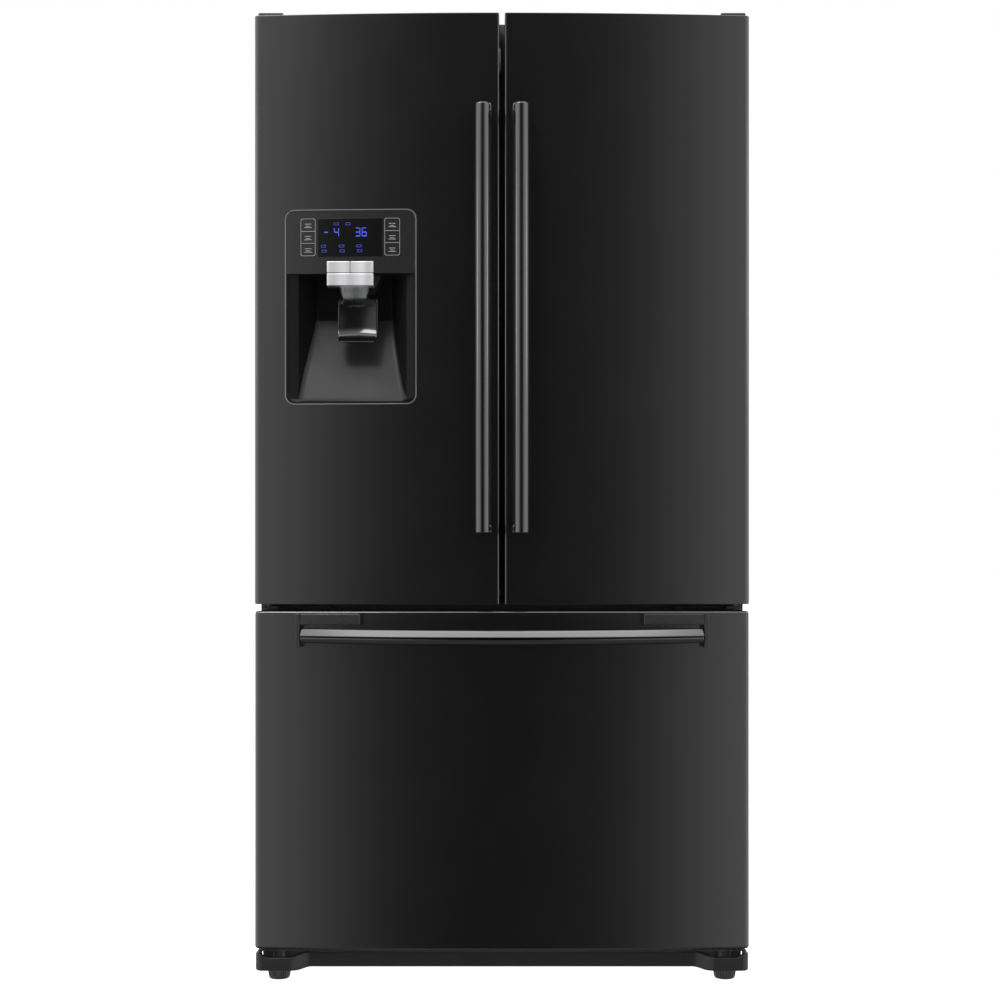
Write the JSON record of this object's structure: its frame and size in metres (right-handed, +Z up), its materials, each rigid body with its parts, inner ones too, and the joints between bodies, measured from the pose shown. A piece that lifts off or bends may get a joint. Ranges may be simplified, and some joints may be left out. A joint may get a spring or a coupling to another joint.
{
  "type": "french door refrigerator",
  "caption": "Black french door refrigerator with bowed bar handles, an ice and water dispenser in the left door and a bottom freezer drawer.",
  "frame": {"origin": "on the floor at the centre of the bounding box", "axes": "+Z up, doors face -Y, +X to the viewer's right"},
  "size_m": [0.9092, 0.894, 1.79],
  "materials": {
    "aluminium_coil": "satin",
    "black_door_steel": "gloss",
    "black_gloss_plastic": "gloss",
    "black_trim_plastic": "satin",
    "brushed_button_metal": "satin",
    "charcoal_cabinet_steel": "satin",
    "clear_bin": "gloss",
    "compressor_black": "satin",
    "display_glass": "gloss",
    "foam": "matte",
    "foot_rubber": "matte",
    "galvanised_sheet": "satin",
    "handle_metal": "satin",
    "hinge_steel": "satin",
    "lamp_diffuser": "satin",
    "seal_rubber": "matte",
    "shelf_glass": "gloss",
    "valve_plastic": "satin",
    "white_liner": "satin"
  },
  "bodies": {
    "cabinet": {"cabinet_shell": "charcoal_cabinet_steel", "rear_panel": "galvanised_sheet", "cabinet_foam": "foam", "fridge_liner": "white_liner", "freezer_liner": "white_liner", "front_mullion": "charcoal_cabinet_steel", "top_cover": "black_trim_plastic", "door_hinges": "hinge_steel", "base_frame": "galvanised_sheet", "kick_moulding": "black_trim_plastic", "compressor": "compressor_black", "condenser": "aluminium_coil", "machine_cover": "galvanised_sheet", "water_valve": "valve_plastic", "duct_covers": "white_liner", "crisper_cover": "white_liner", "glass_shelves": "shelf_glass", "shelf_frames": "white_liner", "ice_maker": "white_liner", "interior_lamps": "lamp_diffuser", "evaporators": "aluminium_coil", "drawer_rails_outer": "hinge_steel"},
    "left_foot": {"foot_left": "foot_rubber"},
    "right_foot": {"foot_right": "foot_rubber"},
    "left_roller": {"roller_left": "black_trim_plastic"},
    "right_roller": {"roller_right": "black_trim_plastic"},
    "fan": {"condenser_fan": "black_trim_plastic"},
    "left_crisper": {"crisper_left": "clear_bin"},
    "right_crisper": {"crisper_right": "clear_bin"},
    "pantry": {"pantry_drawer": "clear_bin"},
    "bucket": {"ice_bucket": "clear_bin"},
    "left_door": {"left_door_panel": "black_door_steel", "left_door_caps": "black_trim_plastic", "left_door_liner": "white_liner", "left_door_gasket": "seal_rubber", "left_door_handle": "handle_metal", "left_door_bins": "clear_bin", "dispenser_bezel": "black_gloss_plastic", "dispenser_display": "display_glass", "dispenser_housing": "black_gloss_plastic", "dispenser_nozzle": "brushed_button_metal"},
    "flipper": {"flipper_mullion": "black_trim_plastic"},
    "paddle": {"dispenser_paddle": "black_gloss_plastic"},
    "ice_key": {"ice_button": "brushed_button_metal"},
    "water_key": {"water_button": "brushed_button_metal"},
    "right_door": {"right_door_panel": "black_door_steel", "right_door_caps": "black_trim_plastic", "right_door_liner": "white_liner", "right_door_gasket": "seal_rubber", "right_door_handle": "handle_metal", "right_door_bins": "clear_bin"},
    "freezer_drawer": {"drawer_panel": "black_door_steel", "drawer_liner": "white_liner", "drawer_gasket": "seal_rubber", "handle_brackets": "black_trim_plastic", "drawer_rails_inner": "hinge_steel", "freezer_basket": "clear_bin"},
    "lever_handle": {"freezer_handle": "handle_metal"},
    "middle_rails": {"drawer_rails_middle": "hinge_steel"},
    "freezer_tray": {"upper_tray": "clear_bin"}
  },
  "joints": [
    {"name": "left_door_hinge", "type": "hinge", "parent": "cabinet", "child": "left_door", "pos_m": [-0.43, -0.33, 1.238], "axis": [0, 0, -1], "range_deg": [0, 125]},
    {"name": "right_door_hinge", "type": "hinge", "parent": "cabinet", "child": "right_door", "pos_m": [0.43, -0.33, 1.238], "axis": [0, 0, 1], "range_deg": [0, 125]},
    {"name": "flipper_hinge", "type": "hinge", "parent": "left_door", "child": "flipper", "pos_m": [-0.038, -0.27, 1.22], "axis": [0, 0, 1], "range_deg": [0, 90]},
    {"name": "paddle_hinge", "type": "hinge", "parent": "left_door", "child": "paddle", "pos_m": [-0.266, -0.332, 1.256], "axis": [1, 0, 0], "range_deg": [0, 10], "stiffness_Nm_per_rad": 0.5, "springref_deg": -5.73},
    {"name": "ice_button_slide", "type": "slide", "parent": "left_door", "child": "ice_key", "axis": [0, 1, 0], "range_m": [0, 0.0025], "stiffness_N_per_m": 300, "springref_m": -0.002},
    {"name": "water_button_slide", "type": "slide", "parent": "left_door", "child": "water_key", "axis": [0, 1, 0], "range_m": [0, 0.0025], "stiffness_N_per_m": 300, "springref_m": -0.002},
    {"name": "drawer_slide", "type": "slide", "parent": "cabinet", "child": "freezer_drawer", "axis": [0, -1, 0], "range_m": [0, 0.43]},
    {"name": "middle_rail_slide", "type": "slide", "parent": "cabinet", "child": "middle_rails", "axis": [0, -1, 0], "range_m": [0, 0.215]},
    {"name": "tray_slide", "type": "slide", "parent": "cabinet", "child": "freezer_tray", "axis": [0, -1, 0], "range_m": [0, 0.215]},
    {"name": "lever_hinge", "type": "hinge", "parent": "freezer_drawer", "child": "lever_handle", "pos_m": [0, -0.396, 0.641], "axis": [-1, 0, 0], "range_deg": [0, 10]},
    {"name": "left_crisper_slide", "type": "slide", "parent": "cabinet", "child": "left_crisper", "axis": [0, -1, 0], "range_m": [0, 0.1]},
    {"name": "right_crisper_slide", "type": "slide", "parent": "cabinet", "child": "right_crisper", "axis": [0, -1, 0], "range_m": [0, 0.1]},
    {"name": "pantry_slide", "type": "slide", "parent": "cabinet", "child": "pantry", "axis": [0, -1, 0], "range_m": [0, 0.1]},
    {"name": "ice_bucket_slide", "type": "slide", "parent": "cabinet", "child": "bucket", "axis": [0, -1, 0], "range_m": [0, 0.03]},
    {"name": "left_foot_screw", "type": "hinge", "parent": "cabinet", "child": "left_foot", "pos_m": [-0.416, -0.309, 0.01], "axis": [0, 0, 1], "continuous": true},
    {"name": "right_foot_screw", "type": "hinge", "parent": "cabinet", "child": "right_foot", "pos_m": [0.416, -0.309, 0.01], "axis": [0, 0, 1], "continuous": true},
    {"name": "left_roller_axle", "type": "hinge", "parent": "cabinet", "child": "left_roller", "pos_m": [-0.4, 0.4, 0.02], "axis": [1, 0, 0], "continuous": true},
    {"name": "right_roller_axle", "type": "hinge", "parent": "cabinet", "child": "right_roller", "pos_m": [0.4, 0.4, 0.02], "axis": [1, 0, 0], "continuous": true},
    {"name": "fan_shaft", "type": "hinge", "parent": "cabinet", "child": "fan", "pos_m": [-0.12, 0.345, 0.175], "axis": [1, 0, 0], "continuous": true}
  ],
  "couplings": [
    {"joint": "flipper_hinge", "follows": "left_door_hinge", "ratio": 0.72},
    {"joint": "middle_rail_slide", "follows": "drawer_slide", "ratio": 0.5},
    {"joint": "tray_slide", "follows": "drawer_slide", "ratio": 0.5}
  ]
}
